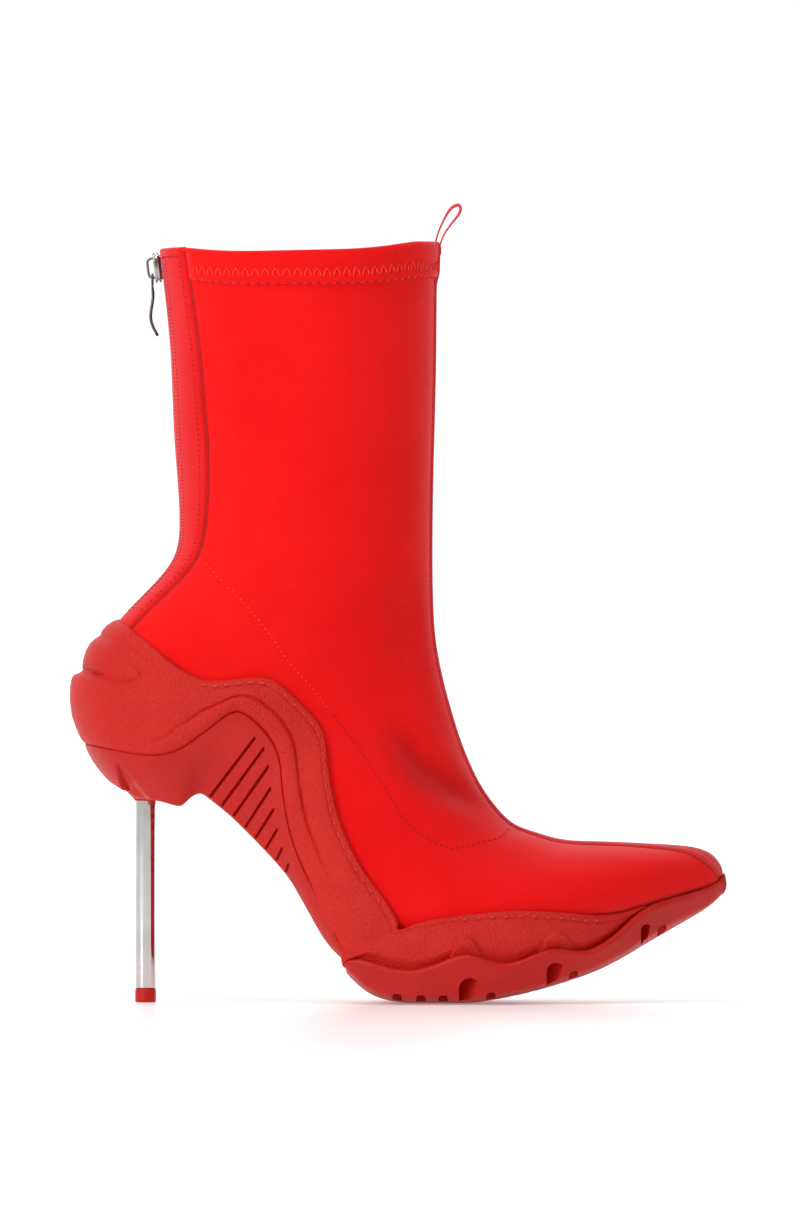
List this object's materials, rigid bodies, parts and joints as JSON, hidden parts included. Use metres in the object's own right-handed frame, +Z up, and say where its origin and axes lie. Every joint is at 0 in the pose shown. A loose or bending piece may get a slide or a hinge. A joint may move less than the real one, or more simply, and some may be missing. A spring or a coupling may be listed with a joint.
{
  "type": "stretch ankle boot",
  "caption": "Knitted stretch ankle boot with a pointed toe, a zip up the back, a moulded rubber sole with a wavy side and a thin straight metal stem heel.",
  "frame": {"origin": "on the floor, under the middle of the box around the boot", "axes": "+X to the toe, +Z up, +Y to the inner side of the foot"},
  "size_m": [0.2362, 0.0858, 0.2871],
  "materials": {
    "red_knit": "fine knit, soft matte",
    "red_tape": "ribbed tape, matte",
    "red_rubber": "moulded, matte with fine grain",
    "bright_metal": "polished",
    "dark_metal": "dark, satin",
    "dark_lining": "matte lining"
  },
  "bodies": {
    "boot": {"upper": "red_knit", "seam_tape": "red_tape", "pull_loop": "red_tape", "zip_facing_outer": "red_tape", "zip_facing_inner": "red_tape", "zip_chain": "dark_lining", "zip_slider": "bright_metal", "insole": "dark_lining", "sole_cup": "red_rubber", "heel_block": "red_rubber", "outsole": "red_rubber", "heel_stem": "bright_metal", "heel_tip": "red_rubber"},
    "zip_pull": {"zip_pull": "dark_metal"}
  },
  "joints": [
    {"name": "pull_swing", "type": "hinge", "parent": "boot", "child": "zip_pull", "pos_m": [-0.0885, 0, 0.26176], "axis": [0, 1, 0], "range_deg": [-4, 120]}
  ]
}
